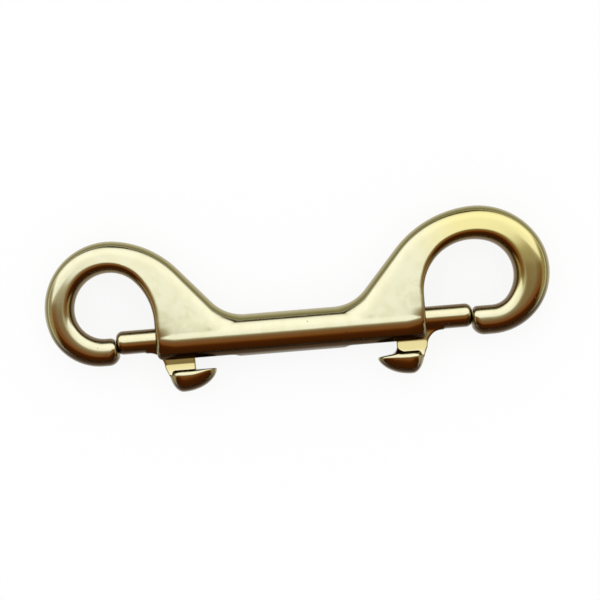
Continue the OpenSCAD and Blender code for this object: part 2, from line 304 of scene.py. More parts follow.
def lookUp(ring, name, x, y):
    table = ring["tables"][name]
    fx = np.clip((x - ring["tableStart"][0]) / maps["step"], 0, table.shape[0] - 1.001)
    fy = np.clip((y - ring["tableStart"][1]) / maps["step"], 0, table.shape[1] - 1.001)
    i, j = fx.astype(int), fy.astype(int)
    fx, fy = fx - i, fy - j
    return ((1 - fx) * (1 - fy) * table[i, j] + fx * (1 - fy) * table[i + 1, j]
            + (1 - fx) * fy * table[i, j + 1] + fx * fy * table[i + 1, j + 1])


def roundMax(a, b, r):
    # both at once, with a round edge of radius r where they meet
    return np.minimum(np.maximum(a, b), -r) + np.hypot(np.maximum(a + r, 0), np.maximum(b + r, 0))


def softMin(a, b, k):
    # either, with a hollow of size k where they meet
    k = np.maximum(k, 1e-6)
    h = np.maximum(k - np.abs(a - b), 0) / k
    return np.minimum(a, b) - h * h * k / 4


fallTable = smoothTable(np.tan(np.radians(neckShape["fall"])))
crestTable = smoothTable(neckShape["crestAt"])
roundTable = smoothTable(neckShape["inRound"])
riseTable = smoothTable(neckShape["inRise"])


def easeUp(value, low, high):
    # from 0 at low to 1 at high
    share = np.clip((value - low) / (high - low), 0, 1)
    return share * share * (3 - 2 * share)


def mouthFall(x, y):
    # how far the barrel's crown and the face beside it have fallen towards the mouth
    length, depth = barrel["mouthFall"]
    share = np.clip((x - barrel["half"] + length) / length, 0, 1) ** barrel["fallPower"]
    return depth * share * easeUp(y, *barrel["fallHeights"])


def neckFace(ring, x, y):
    # the neck's face runs on from the barrel's crown in one straight taper
    taper = math.radians(ring["taper"])
    start = barrel["radius"] * math.sin(taper)
    line = barrel["radius"] / math.cos(taper) - y * math.tan(taper)
    crown = np.sqrt(np.maximum(barrel["radius"] ** 2 - y * y, 1))
    return np.where(y < start, crown, line) - mouthFall(x, y)


def ringField(ring, x, y, z):
    shape = neckShape
    inner, outer = lookUp(ring, "inner", x, y), lookUp(ring, "outer", x, y)
    number = (lookUp(ring, "innerNumber", x, y) + lookUp(ring, "outerNumber", x, y)) / 2
    neckHalf = neckFace(ring, x, y)
    half = neckHalf + (ring["thickness"] / 2 - neckHalf) * easeUp(number, *shape["thinMarks"])
    # an outer face that falls a little outwards, and an inner round that meets it in a crest
    high = np.abs(z) - half
    outFace = high + np.interp(number, smoothMarks, fallTable) * np.maximum(
        inner - np.interp(number, smoothMarks, crestTable), 0)
    outSide = roundMax(outFace, -outer, shape["outRound"] * half)
    inRound = np.interp(number, smoothMarks, roundTable)
    inRound = inRound + (ring["waistRound"] - inRound) * easeUp(number, *shape["waistMarks"])
    inRound = np.minimum(inRound, half)
    inSide = roundMax(high - np.interp(number, smoothMarks, riseTable), -inner, inRound)
    field = roundMax(outSide, inSide, shape["crestRound"])
    field = np.where(x < shape["cutTo"], np.maximum(field, -y - shape["cutBelow"]), field)
    facing = ring["noseFacing"]
    past = (x - ring["noseMiddle"][0]) * facing[0] + (y - ring["noseMiddle"][1]) * facing[1]
    share = easeUp(inner / np.maximum(inner + outer, 1), *shape["chinShare"])
    endRound = shape["noseRound"] + (shape["chinRound"] - shape["noseRound"]) * share
    nearNose = (x > shape["noseFrom"][0]) & (y < shape["noseFrom"][1])
    return np.where(nearNose, roundMax(field, past, endRound), field)


def roundedRod(along, r, radius, rounding):
    # a rod whose end is at along = 0, with a rounded edge
    a, b = r - radius + rounding, along + rounding
    return np.minimum(np.maximum(a, b), 0) + np.hypot(np.maximum(a, 0), np.maximum(b, 0)) - rounding


def sideField(ring, x, y, z):
    # one half of the casting, for x at or beyond the middle of the barrel
    across = np.hypot(y, z) + mouthFall(x, y) * np.clip(np.abs(z) / barrel["fallRim"], 0, 1) ** 2
    tube = roundedRod(x - barrel["half"], across, barrel["radius"], barrel["mouthRound"])
    # the hollow at the neck's foot is deep at mid height and runs out towards the faces
    most, least = neckShape["footFillet"]
    hollow = least + (most - least) * np.clip(1 - (z / neckShape["footHalf"]) ** 2, 0, 1)
    hollow = hollow * easeUp(y, *neckShape["footHeights"]) * easeUp(x, *neckShape["footEnds"])
    field = softMin(tube, ringField(ring, x, y, z), hollow)
    fromBore = np.hypot(y - barrel["boreRise"], z)
    bore = np.maximum(fromBore - barrel["boreRadius"], ring["boreBottom"] - x)
    bore = np.maximum(bore, x - barrel["boreTo"])
    tip = x - ring["noseX"] - barrel["seatGap"]
    seat = roundedRod(tip, fromBore, barrel["boreRadius"], barrel["seatRound"])
    slotMiddle = barrel["slotEnd"] + barrel["slotHalf"]
    slot = np.hypot(np.minimum(x - slotMiddle, 0), z) - barrel["slotHalf"]
    slot = np.maximum(np.maximum(slot, y - barrel["boreRise"]), x - barrel["slotTo"])
    field = roundMax(field, -bore, barrel["edge"])
    field = roundMax(field, -slot, barrel["edge"])
    return roundMax(field, -np.maximum(seat, barrel["boreTo"] - x), barrel["edge"])


def bodyField(x, y, z):
    left = sideField(leftRing, np.abs(x), y, z)
    right = sideField(rightRing, np.abs(x), y, z)
    return np.where(x < 0, left, right)


# Surfaces from fields

nets = {
    "slab": 40,             # layers worked out at a time
    "rounds": 3, "moves": 2,  # rounds of evening out, and moves onto the surface in each
    "evening": 0.5,
    "leastSlope": 0.05, "longestMove": 0.15, "slopeStep": 0.02,
}


def netSurface(field, low, high, step):
    # a net of four-sided faces round the space where the field is below zero
    axes = [np.arange(low[i], high[i] + step, step) for i in range(3)]
    size = [len(a) for a in axes]
    values = np.empty(size)
    for i in range(0, size[0], nets["slab"]):
        part = slice(i, i + nets["slab"])
        values[part] = field(axes[0][part, None, None], axes[1][None, :, None], axes[2][None, None, :])
    inside = values < 0
    cells = size[0] * size[1] * size[2]
    strides = np.array([size[1] * size[2], size[2], 1])
    sums, counts, edges = np.zeros((3, cells)), np.zeros(cells), []
    for axis in range(3):
        first = [slice(None)] * 3
        second = [slice(None)] * 3
        first[axis], second[axis] = slice(0, -1), slice(1, None)
        a, b = values[tuple(first)], values[tuple(second)]
        at = np.argwhere(inside[tuple(first)] != inside[tuple(second)])
        va, vb = a[tuple(at.T)], b[tuple(at.T)]
        place = at.astype(float)
        place[:, axis] += va / (va - vb)
        corner = at @ strides
        u, v = strides[(axis + 1) % 3], strides[(axis + 2) % 3]
        around = np.stack([corner - u - v, corner - v, corner, corner - u], 1)
        for k in range(4):
            counts += np.bincount(around[:, k], minlength=cells)
            for c in range(3):
                sums[c] += np.bincount(around[:, k], weights=place[:, c], minlength=cells)
        edges.append(np.where((va < 0)[:, None], around, around[:, ::-1]))
    used = counts > 0
    number = np.cumsum(used) - 1
    points = (sums[:, used] / counts[used]).T * step + np.array([a[0] for a in axes])
    return points, number[np.concatenate(edges)]


def fieldSlope(field, p):
    e = nets["slopeStep"]
    slope = np.empty_like(p)
    for c in range(3):
        step = np.zeros(3)
        step[c] = e
        slope[:, c] = (field(*(p + step).T) - field(*(p - step).T)) / (2 * e)
    return slope


def moveOnto(field, points):
    for _ in range(nets["moves"]):
        slope = fieldSlope(field, points)
        size = np.maximum((slope * slope).sum(1), nets["leastSlope"])
        move = (field(*points.T) / size)[:, None] * slope
        length = np.linalg.norm(move, axis=1, keepdims=True)
        points = points - move * np.minimum(1, nets["longestMove"] / np.maximum(length, 1e-9))
    return points, slope / np.linalg.norm(slope, axis=1, keepdims=True)


def settleOn(field, points, faces):
    # evens out the net and brings each point onto the surface
    n = len(points)
    a, b = np.concatenate([faces[:, [0, 1]], faces[:, [1, 2]], faces[:, [2, 3]], faces[:, [3, 0]]]).T
    count = np.bincount(a, minlength=n) + np.bincount(b, minlength=n)
    for _ in range(nets["rounds"] - 1):
        points, normal = moveOnto(field, points)
        total = np.stack([np.bincount(a, weights=points[b, c], minlength=n)
                          + np.bincount(b, weights=points[a, c], minlength=n) for c in range(3)], 1)
        drift = total / count[:, None] - points
        points = points + nets["evening"] * (drift - (drift * normal).sum(1)[:, None] * normal)
    return moveOnto(field, points)[0]


# where the barrel's middle is, from the part's origin
middleX = (rightRing["reach"] - leftRing["reach"]) / 2
middleY = (max(leftRing["top"], rightRing["top"]) + barrel["boreRise"] - thumbBottom) / 2
toOrigin = np.array([-middleX, -middleY, barrel["radius"]])


def makePiece(name, points, faces, material):
    # points in mm in the barrel's frame
    mesh = bpy.data.meshes.new(name)
    mesh.vertices.add(len(points))
    mesh.vertices.foreach_set("co", ((points + toOrigin) / 1000).astype(np.float32).ravel())
    mesh.loops.add(faces.size)
    mesh.loops.foreach_set("vertex_index", faces.astype(np.int32).ravel())
    mesh.polygons.add(len(faces))
    mesh.polygons.foreach_set("loop_start", np.arange(0, faces.size, faces.shape[1], dtype=np.int32))
    mesh.update(calc_edges=True)
    mesh.validate()
    mesh.shade_smooth()
    piece = bpy.data.objects.new(name, mesh)
    scene.collection.objects.link(piece)
    mesh.materials.append(material)
    return piece


# Materials

def setInputs(node, values):
    # each input takes a constant or another node's output
    for key, value in values.items():
        if isinstance(value, bpy.types.NodeSocket):
            node.id_data.links.new(value, node.inputs[key])
        else:
            node.inputs[key].default_value = value


def addNode(tree, kind, settings=None, values=None):
    node = tree.nodes.new(kind)
    for key, value in (settings or {}).items():
        setattr(node, key, value)
    setInputs(node, values or {})
    return node


def newGroup(name, inputs, outputs):
    # inputs come with their defaults, a vector's as a tuple; outputs are masks and heights
    group = bpy.data.node_groups.new(name, "ShaderNodeTree")
    for label, default in inputs.items():
        kind = "NodeSocketVector" if isinstance(default, tuple) else "NodeSocketFloat"
        group.interface.new_socket(label, in_out="INPUT", socket_type=kind).default_value = default
    for label in outputs:
        group.interface.new_socket(label, in_out="OUTPUT", socket_type="NodeSocketFloat")
    return group, group.nodes.new("NodeGroupInput").outputs, group.nodes.new("NodeGroupOutput")


def useGroup(tree, group, values):
    return addNode(tree, "ShaderNodeGroup", {"node_tree": group}, values).outputs


def newMaterial(name):
    material = bpy.data.materials.new(name)
    material.use_nodes = True
    material.node_tree.nodes.clear()
    return material, material.node_tree, addNode(material.node_tree, "ShaderNodeOutputMaterial")


def calc(tree, operation, *values):
    return addNode(tree, "ShaderNodeMath", {"operation": operation}, dict(enumerate(values))).outputs[0]


def vector(tree, operation, *values):
    node = addNode(tree, "ShaderNodeVectorMath", {"operation": operation}, dict(enumerate(values)))
    return node.outputs["Value" if operation in ("LENGTH", "DOT_PRODUCT") else "Vector"]


def ramp(tree, value, low, high):
    # from 0 at low to 1 at high, with soft ends
    return addNode(tree, "ShaderNodeMapRange", {"interpolation_type": "SMOOTHSTEP"},
                   {"Value": value, "From Min": low, "From Max": high}).outputs["Result"]


def blend(tree, share, a, b, kind="RGBA"):
    return addNode(tree, "ShaderNodeMix", {"data_type": kind},
                   {"Factor": share, "A": a, "B": b}).outputs["Result"]


def bump(tree, height, depth, values=None, inwards=False):
    # a normal from a height, with depth in m
    return addNode(tree, "ShaderNodeBump", {"invert": inwards},
                   {"Height": height, "Distance": depth, "Strength": 1.0, **(values or {})}).outputs["Normal"]


def scratchGroup():
    # fine rub marks along x, as height
    inputs = {"Coordinates": (0, 0, 0), "Scale": 1.0, "Stretch": 20.0}
    group, given, end = newGroup("fineScratches", inputs, ["Height"])
    squeeze = addNode(group, "ShaderNodeCombineXYZ", None,
                      {"X": calc(group, "DIVIDE", 1.0, given["Stretch"]), "Y": 1.0, "Z": 1.0})
    stretched = vector(group, "MULTIPLY", given["Coordinates"], squeeze.outputs[0])
    noise = addNode(group, "ShaderNodeTexNoise", None,
                    {"Vector": stretched, "Scale": given["Scale"], "Detail": 3.0, "Roughness": 0.6})
    setInputs(end, {"Height": noise.outputs["Fac"]})
    return group


def waveGroup():
    # the slow unevenness that casting and hand polishing leave
    inputs = {"Coordinates": (0, 0, 0), "Scale": 300.0}
    group, given, end = newGroup("polishWaves", inputs, ["Height", "Mask"])
    slow = addNode(group, "ShaderNodeTexNoise", None,
                   {"Vector": given["Coordinates"], "Scale": given["Scale"], "Detail": 1.0, "Roughness": 0.4})
    patches = addNode(group, "ShaderNodeTexNoise", None,
                      {"Vector": given["Coordinates"], "Scale": calc(group, "MULTIPLY", given["Scale"], 2.3),
                       "Detail": 4.0, "Roughness": 0.55, "Distortion": 0.3})
    setInputs(end, {"Height": slow.outputs["Fac"], "Mask": ramp(group, patches.outputs["Fac"], 0.42, 0.62)})
    return group


def pittingGroup():
    # small pores left by the casting
    inputs = {"Coordinates": (0, 0, 0), "Scale": 900.0, "Rarity": 0.75}
    group, given, end = newGroup("castPores", inputs, ["Mask"])
    cell = addNode(group, "ShaderNodeTexVoronoi", {"feature": "F1"},
                   {"Vector": given["Coordinates"], "Scale": given["Scale"]})
    colour = addNode(group, "ShaderNodeSeparateColor", None, {"Color": cell.outputs["Color"]})
    chosen = calc(group, "GREATER_THAN", colour.outputs["Red"], given["Rarity"])
    speck = ramp(group, cell.outputs["Distance"], 0.24, 0.08)
    setInputs(end, {"Mask": calc(group, "MULTIPLY", speck, chosen)})
    return group


# each mask of the side walls goes from none to all between two values: of the level, 1 on a face
# and 0 on an upright wall, of facing, 1 towards the middle of an eye, or of the normal's y
wallLimits = {
    "shadedWall": (0.80, 0.64), "lowerWall": (0.82, 0.73), "shadeStrip": (0.35, 0.72), "underFaceShade": (0.38, 0.56),
    "eyeShade": (0.1, 0.6), "turnedAway": (0.5, 0.0), "downwards": (-0.1, -0.6),
}


def wallGroup(limits):
    # masks for the side walls, where polishing hardly reached so they are rougher, and where painted
    # shade darkens them: the walls, the strip beside the faces, the walls that face into an eye, and
    # those on the thumb lugs' side with the part of them beneath the face
    inputs = {"Normal": (0, 0, 0), "Coordinates": (0, 0, 0), "Eye Middle": (0.0325, 0.0016, 0.0)}
    group, given, end = newGroup("roughShadedWalls", inputs, ["Mask", "Strip", "Hidden", "Below Shade", "Under Face Shade"])
    parts = addNode(group, "ShaderNodeSeparateXYZ", None, {0: given["Normal"]}).outputs
    level = calc(group, "ABSOLUTE", parts["Z"])
    # both eyes are taken as one by turning the left half over
    flip = vector(group, "MULTIPLY", vector(group, "SIGN", given["Coordinates"]), (1.0, 0.0, 0.0))
    flip = vector(group, "ADD", flip, (0.0, 1.0, 1.0))
    turned = vector(group, "MULTIPLY", given["Normal"], flip)
    placed = vector(group, "MULTIPLY", given["Coordinates"], flip)
    inwards = vector(group, "SUBTRACT", given["Eye Middle"], placed)
    inwards = vector(group, "NORMALIZE", vector(group, "MULTIPLY", inwards, (1.0, 1.0, 0.0)))
    facing = vector(group, "DOT_PRODUCT", turned, inwards)
    below = calc(group, "MULTIPLY", ramp(group, parts["Y"], *limits["downwards"]),
                 ramp(group, facing, *limits["turnedAway"]))
    early = calc(group, "MULTIPLY", ramp(group, level, *limits["lowerWall"]), below)
    setInputs(end, {"Mask": calc(group, "MAXIMUM", ramp(group, level, *limits["shadedWall"]), early),
                    "Strip": ramp(group, level, *limits["shadeStrip"]),
                    "Hidden": ramp(group, facing, *limits["eyeShade"]), "Below Shade": below,
                    "Under Face Shade": ramp(group, level, *limits["underFaceShade"])})
    return group


fineScratches = scratchGroup()
polishWaves = waveGroup()
castPores = pittingGroup()
roughShadedWalls = wallGroup(wallLimits)

# what both kinds of brass share; scales are per m, depths in m
brassLook = {
    # painted shade: a darker brown on the walls that face into an eye, and near black on the walls beneath
    # the faces on the thumb lugs' side
    "wallHidden": (0.19, 0.13, 0.06, 1), "underFaceShade": (0.06, 0.03, 0.01, 1), "wallRough": 0.25,
    "deepShare": (0.35, 0.05),  # of the deeper colour: what the waves bring in, and what is everywhere
    "grime": (0.25, 0.17, 0.06, 1), "poreDepth": 0.00004, "poreStrength": 0.6,
}
castBrassLook = {
    **brassLook,
    "bright": (0.91, 0.88, 0.63, 1), "deep": (0.86, 0.81, 0.51, 1),
    # painted shade on the side walls: a darker olive, darker still in the strip beside the faces and on the
    # thumb lugs' side
    "shadedWall": (0.42, 0.37, 0.19, 1), "stripShade": (0.16, 0.135, 0.03, 1), "lowerWallShade": (0.17, 0.135, 0.08, 1),
    # painted reflection: a deeper yellow where the right ring's highlight is dimmer
    "paintedReflection": (0.92, 0.83, 0.38, 1), "paintedReflectionAt": (0.036, 0.010, 0.0037), "paintedReflectionSize": (0.017, 0.017, 0.017),
    "polished": 0.07, "dull": 0.12,
    "waveScale": 190.0, "waveDepth": 0.00003,
    "poreScale": 1500.0, "poreRarity": 0.993,
    "scratchScale": 2600.0, "scratchStretch": 9.0, "scratchDepth": 0.0000008,
}
boltBrassLook = {
    **brassLook,
    "bright": (0.91, 0.87, 0.60, 1), "deep": (0.86, 0.80, 0.48, 1),
    # painted shade on the bolts' side walls, as on the casting
    "shadedWall": (0.42, 0.36, 0.19, 1), "stripShade": (0.19, 0.15, 0.04, 1), "lowerWallShade": (0.20, 0.16, 0.10, 1),
    # painted reflection: a gold band across the webs where they mirror the barrel
    "paintedReflection": (0.80, 0.69, 0.33, 1), "paintedReflectionAt": (0.0, -0.0088, 0.0), "paintedReflectionSize": (1.0, 0.0026, 1.0),
    "polished": 0.08, "dull": 0.13,
    "waveScale": 300.0, "waveDepth": 0.000004,
    "poreScale": 1800.0, "poreRarity": 0.99,
    "scratchScale": 5200.0, "scratchStretch": 40.0, "scratchDepth": 0.000002,
}


def brassMaterial(name, look):
    material, tree, out = newMaterial(name)
    place = addNode(tree, "ShaderNodeTexCoord").outputs
    at = place["Object"]
    waves = useGroup(tree, polishWaves, {"Coordinates": at, "Scale": look["waveScale"]})
    pores = useGroup(tree, castPores,
                     {"Coordinates": at, "Scale": look["poreScale"], "Rarity": look["poreRarity"]})
    marks = useGroup(tree, fineScratches,
                     {"Coordinates": at, "Scale": look["scratchScale"], "Stretch": look["scratchStretch"]})
    walls = useGroup(tree, roughShadedWalls, {"Normal": place["Normal"], "Coordinates": at})
    face = blend(tree, calc(tree, "MULTIPLY_ADD", waves["Mask"], *look["deepShare"]),
                 look["bright"], look["deep"])
    # painted reflection: a deeper yellow, dimmer highlight on the casting's right ring, and on the bolts a
    # gold band where the webs mirror the barrel
    away = vector(tree, "DIVIDE", vector(tree, "SUBTRACT", at, look["paintedReflectionAt"]), look["paintedReflectionSize"])
    face = blend(tree, ramp(tree, vector(tree, "LENGTH", away), 1.0, 0.35), face, look["paintedReflection"])
    # painted shade: the side walls take darker colours in place of the darker surroundings they mirror
    shadedWall = blend(tree, walls["Strip"], look["shadedWall"], look["stripShade"])
    shadedWall = blend(tree, walls["Hidden"], shadedWall, look["wallHidden"])
    lowerShade = blend(tree, walls["Under Face Shade"], look["lowerWallShade"], look["underFaceShade"])
    shadedWall = blend(tree, walls["Below Shade"], shadedWall, lowerShade)
    colour = blend(tree, walls["Mask"], face, shadedWall)
    colour = blend(tree, pores["Mask"], colour, look["grime"])
    rough = addNode(tree, "ShaderNodeMapRange", None,
                    {"Value": waves["Mask"], "To Min": look["polished"], "To Max": look["dull"]})
    rough = blend(tree, walls["Mask"], rough.outputs["Result"], look["wallRough"], "FLOAT")
    normal = bump(tree, waves["Height"], look["waveDepth"])
    normal = bump(tree, marks["Height"], look["scratchDepth"], {"Normal": normal})
    normal = bump(tree, pores["Mask"], look["poreDepth"],
                  {"Normal": normal, "Strength": look["poreStrength"]}, inwards=True)
    shader = addNode(tree, "ShaderNodeBsdfPrincipled", None,
                     {"Base Color": colour, "Metallic": 1.0, "Roughness": rough, "Normal": normal})
    setInputs(out, {"Surface": shader.outputs["BSDF"]})
    return material


castBrass = brassMaterial("castBrass", castBrassLook)
boltBrass = brassMaterial("boltBrass", boltBrassLook)
print("brass made")

# The casting

bodyNet = {"step": 0.24, "room": 0.7, "lowestY": -4.4}


def makeBody(setup):
    room = setup["room"]
    top = max(leftRing["top"], rightRing["top"])
    low = (-leftRing["reach"] - room, setup["lowestY"], -barrel["radius"] - room)
    high = (rightRing["reach"] + room, top + room, barrel["radius"] + room)
    points, faces = netSurface(bodyField, low, high, setup["step"])
    points = settleOn(bodyField, points, faces)
    print("body:", len(faces) * 2, "triangles")
    return makePiece("castBody", points, faces, castBrass)


body = makeBody(bodyNet)
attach(body, "casting")
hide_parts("body")

# The bolts

# places on a bolt are given by how far they are behind its tip and below its axis
bolt = {
    "radius": 2.1, "tipRound": 1.3, "length": 15.9, "tailRound": 0.25,
    "pegRadius": 1.15, "pegLength": 1.6, "pegRound": 0.3, "pegInto": 0.5,
    "webFront": 8.4, "webBack": 13.8, "webHalf": 1.1, "webFillet": 3.0, "webEdge": 0.3,
    "webInto": 0.8,        # how far the web runs into the thumb piece
    "webLean": (5.0, 0.45),  # from where, and how steeply, the web's front leans back
    "webRoot": 0.6,        # hollow between rod and web, none where the slot ends
    "rootSpan": (13.2, 11.4),
    "thumbFront": 9.0, "thumbLowX": 11.4, "thumbBack": 17.5,
    "thumbTop": 5.75, "thumbBottom": thumbBottom, "thumbHalf": 3.0,
    "thumbPowers": (2, 2.6, 1.8),  # how square the thumb piece is along, across and down
    "leastSteep": 0.3,
    "thumbRim": 1.0, "rimSpan": (12.8, 17.0),
    "flareSpan": (12.6, 13.8), "flareHeights": (3.9, 5.0),
    "net": 0.16, "room": 0.6, "tailRoom": 0.8,
}
# how far the thumb piece's top droops towards its back point, from where and how much the web
# widens towards it, the hollow between the two, the hollow behind the web, and the round of the
# rim at the back
leftLug = {"droop": 0.0, "draft": (4.7, 0.45), "flare": 0.2, "backHollow": 0.2, "backRound": 0.1}
rightLug = {"droop": 0.14, "draft": (3.9, 0.24), "flare": 0.5, "backHollow": 1.4, "backRound": 0.4}


def webField(lug, x, y, z):
    b = bolt
    fx, fy = x + b["webFront"] - b["webFillet"], y + b["radius"] + b["webFillet"]
    leanFrom, lean = b["webLean"]
    fx = fx + lean * np.maximum(-leanFrom - y, 0)
    arc = b["webFillet"] - np.hypot(fx, np.maximum(fy, 0))
    front = np.where(fx < 0, arc, np.maximum(arc, fx))
    outline = roundMax(front, -b["webBack"] - x, b["webEdge"])
    outline = np.maximum(outline, -b["thumbTop"] - b["webInto"] - y)
    draftFrom, draft = lug["draft"]
    webHalf = b["webHalf"] + draft * np.maximum(-draftFrom - y, 0)
    return np.maximum(roundMax(outline, np.abs(z) - webHalf, b["webEdge"]), y)


def thumbField(lug, x, y, z):
    # a boat: the powers of three shares add up to 1 on it, and the slope makes that a distance
    b = bolt
    behind = b["thumbBack"] - b["thumbLowX"]
    ahead = b["thumbLowX"] - b["thumbFront"]
    span = np.where(x > -b["thumbLowX"], ahead, behind)
    depth = b["thumbBottom"] - b["thumbTop"]
    shares = (np.abs(x + b["thumbLowX"]) / span, np.abs(z) / b["thumbHalf"],
              np.maximum(-(y + b["thumbTop"]), 0) / depth)
    level, steep = 0, 0
    for share, size, power in zip(shares, (span, b["thumbHalf"], depth), b["thumbPowers"]):
        level = level + share ** power
        steep = steep + (power * share ** (power - 1) / size) ** 2
    boat = (level - 1) / np.maximum(np.sqrt(steep), b["leastSteep"])
    top = y + b["thumbTop"] + lug["droop"] * np.maximum(-x - b["webBack"], 0)
    rim = b["thumbRim"] + (lug["backRound"] - b["thumbRim"]) * easeUp(-x, *b["rimSpan"])
    return roundMax(boat, top, rim)


def boltField(lug, x, y, z):
    # tip at the origin, rod along -x, lug towards -y
    b = bolt
    r = np.hypot(y, z)
    rod = roundMax(roundedRod(x, r, b["radius"], b["tipRound"]), -b["length"] - x, b["tailRound"])
    peg = roundMax(r - b["pegRadius"], -b["length"] - b["pegLength"] - x, b["pegRound"])
    peg = np.maximum(peg, x + b["length"] - b["pegInto"])
    flare = lug["flare"] + (lug["backHollow"] - lug["flare"]) * easeUp(-x, *b["flareSpan"])
    flare = flare * easeUp(-y, *b["flareHeights"])
    lugged = softMin(webField(lug, x, y, z), thumbField(lug, x, y, z), flare)
    root = b["webRoot"] * easeUp(-x, *b["rootSpan"])
    return np.minimum(softMin(rod, lugged, root), peg)


def makeBolts(setup):
    room = setup["room"]
    tail = setup["length"] + setup["pegLength"] + setup["tailRoom"]
    low = (-tail, -setup["thumbBottom"] - room, -setup["thumbHalf"] - room)
    high = (room, setup["radius"] + room, setup["thumbHalf"] + room)
    made = []
    for name, ring, lug in (("leftBolt", leftRing, leftLug), ("rightBolt", rightRing, rightLug)):
        def field(x, y, z, lug=lug):
            return boltField(lug, x, y, z)
        points, faces = netSurface(field, low, high, setup["net"])
        points = settleOn(field, points, faces)
        side = ring["side"]
        placed = (points + np.array([ring["noseX"], barrel["boreRise"], 0])) * np.array([side, 1, 1])
        made.append(makePiece(name, placed, faces if side > 0 else faces[:, ::-1], boltBrass))
        print(name + ":", len(faces) * 2, "triangles")
    return made


leftBolt, rightBolt = makeBolts(bolt)
for piece, bodyName, node in ((leftBolt, "left_bolt", "left_bolt"), (rightBolt, "right_bolt", "right_bolt")):
    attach(piece, bodyName)
    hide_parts(node)

# The springs

spring = {"turns": 8.5, "coilRadius": 1.65, "wireRadius": 0.25, "length": 13.0, "closedTurns": 0.8,
          "stepsPerTurn": 40, "wireSides": 12}
springSteelLook = {
    "colour": (0.62, 0.62, 0.60, 1), "darker": (0.42, 0.41, 0.39, 1), "roughness": (0.28, 0.43),
    "waveScale": 900.0, "scratchScale": 6000.0, "scratchStretch": 1.5, "scratchDepth": 0.000002,
}


def steelMaterial(look):
    material, tree, out = newMaterial("springSteel")
    at = addNode(tree, "ShaderNodeTexCoord").outputs["Object"]
    waves = useGroup(tree, polishWaves, {"Coordinates": at, "Scale": look["waveScale"]})
    marks = useGroup(tree, fineScratches,
                     {"Coordinates": at, "Scale": look["scratchScale"], "Stretch": look["scratchStretch"]})
    least, most = look["roughness"]
    rough = addNode(tree, "ShaderNodeMapRange", None,
                    {"Value": waves["Mask"], "To Min": least, "To Max": most})
    shader = addNode(tree, "ShaderNodeBsdfPrincipled", None,
                     {"Base Color": blend(tree, waves["Mask"], look["colour"], look["darker"]),
                      "Metallic": 1.0, "Roughness": rough.outputs["Result"],
                      "Normal": bump(tree, marks["Height"], look["scratchDepth"])})
    setInputs(out, {"Surface": shader.outputs["BSDF"]})
    return material


springSteel = steelMaterial(springSteelLook)


def coilTree():
    # a coil along x with closed turns at both ends, from a line whose points are moved round it
    tree = bpy.data.node_groups.new("closedCoil", "GeometryNodeTree")
    sockets = {}
    for label, kind in (("Turns", "NodeSocketFloat"), ("Coil Radius", "NodeSocketFloat"),
                        ("Wire Radius", "NodeSocketFloat"), ("Length", "NodeSocketFloat"),
                        ("Closed Turns", "NodeSocketFloat"), ("Points", "NodeSocketInt"),
                        ("Wire Sides", "NodeSocketInt"), ("Start", "NodeSocketVector"),
                        ("Direction", "NodeSocketFloat"), ("Wire", "NodeSocketMaterial")):
        sockets[label] = tree.interface.new_socket(label, in_out="INPUT", socket_type=kind).identifier
    tree.interface.new_socket("Geometry", in_out="OUTPUT", socket_type="NodeSocketGeometry")
    given, end = tree.nodes.new("NodeGroupInput").outputs, tree.nodes.new("NodeGroupOutput")
    line = addNode(tree, "GeometryNodeMeshLine", None, {"Count": given["Points"]})
    index = addNode(tree, "GeometryNodeInputIndex").outputs[0]
    share = calc(tree, "DIVIDE", index, calc(tree, "SUBTRACT", given["Points"], 1))
    turn = calc(tree, "MULTIPLY", share, given["Turns"])
    angle = calc(tree, "MULTIPLY", turn, 2 * math.pi)
    wire = calc(tree, "MULTIPLY", given["Wire Radius"], 2)
    closed = given["Closed Turns"]
    openTurns = calc(tree, "SUBTRACT", given["Turns"], calc(tree, "MULTIPLY", closed, 2))
    # the rise of the first closed turns, of the open ones and of the last closed ones
    low = calc(tree, "MULTIPLY_ADD", wire, calc(tree, "MINIMUM", turn, closed), given["Wire Radius"])
    inWire = calc(tree, "MULTIPLY", wire, calc(tree, "MULTIPLY_ADD", closed, 2, 1))
    rise = calc(tree, "SUBTRACT", given["Length"], inWire)
    past = calc(tree, "SUBTRACT", turn, closed)
    middle = calc(tree, "MAXIMUM", calc(tree, "DIVIDE", past, openTurns), 0)
    middle = calc(tree, "MULTIPLY", rise, calc(tree, "MINIMUM", middle, 1))
    last = calc(tree, "MAXIMUM", calc(tree, "SUBTRACT", past, openTurns), 0)
    last = calc(tree, "MULTIPLY", wire, last)
    along = calc(tree, "ADD", calc(tree, "ADD", low, middle), last)
    place = addNode(tree, "ShaderNodeCombineXYZ", None,
                    {"X": calc(tree, "MULTIPLY", along, given["Direction"]),
                     "Y": calc(tree, "MULTIPLY", given["Coil Radius"], calc(tree, "COSINE", angle)),
                     "Z": calc(tree, "MULTIPLY", given["Coil Radius"], calc(tree, "SINE", angle))})
    moved = vector(tree, "ADD", place.outputs[0], given["Start"])
    put = addNode(tree, "GeometryNodeSetPosition", None,
                  {"Geometry": line.outputs["Mesh"], "Position": moved})
    curve = addNode(tree, "GeometryNodeMeshToCurve", None, {"Mesh": put.outputs["Geometry"]})
    section = addNode(tree, "GeometryNodeCurvePrimitiveCircle", None,
                      {"Resolution": given["Wire Sides"], "Radius": given["Wire Radius"]})
    sweep = addNode(tree, "GeometryNodeCurveToMesh", None,
                    {"Curve": curve.outputs["Curve"], "Profile Curve": section.outputs["Curve"],
                     "Fill Caps": True})
    smooth = addNode(tree, "GeometryNodeSetShadeSmooth", None, {"Geometry": sweep.outputs["Mesh"]})
    real = addNode(tree, "GeometryNodeRealizeInstances", None, {"Geometry": smooth.outputs["Geometry"]})
    dress = addNode(tree, "GeometryNodeSetMaterial", None,
                    {"Geometry": real.outputs["Geometry"], "Material": given["Wire"]})
    setInputs(end, {"Geometry": dress.outputs["Geometry"]})
    return tree, sockets


coil, coilSockets = coilTree()


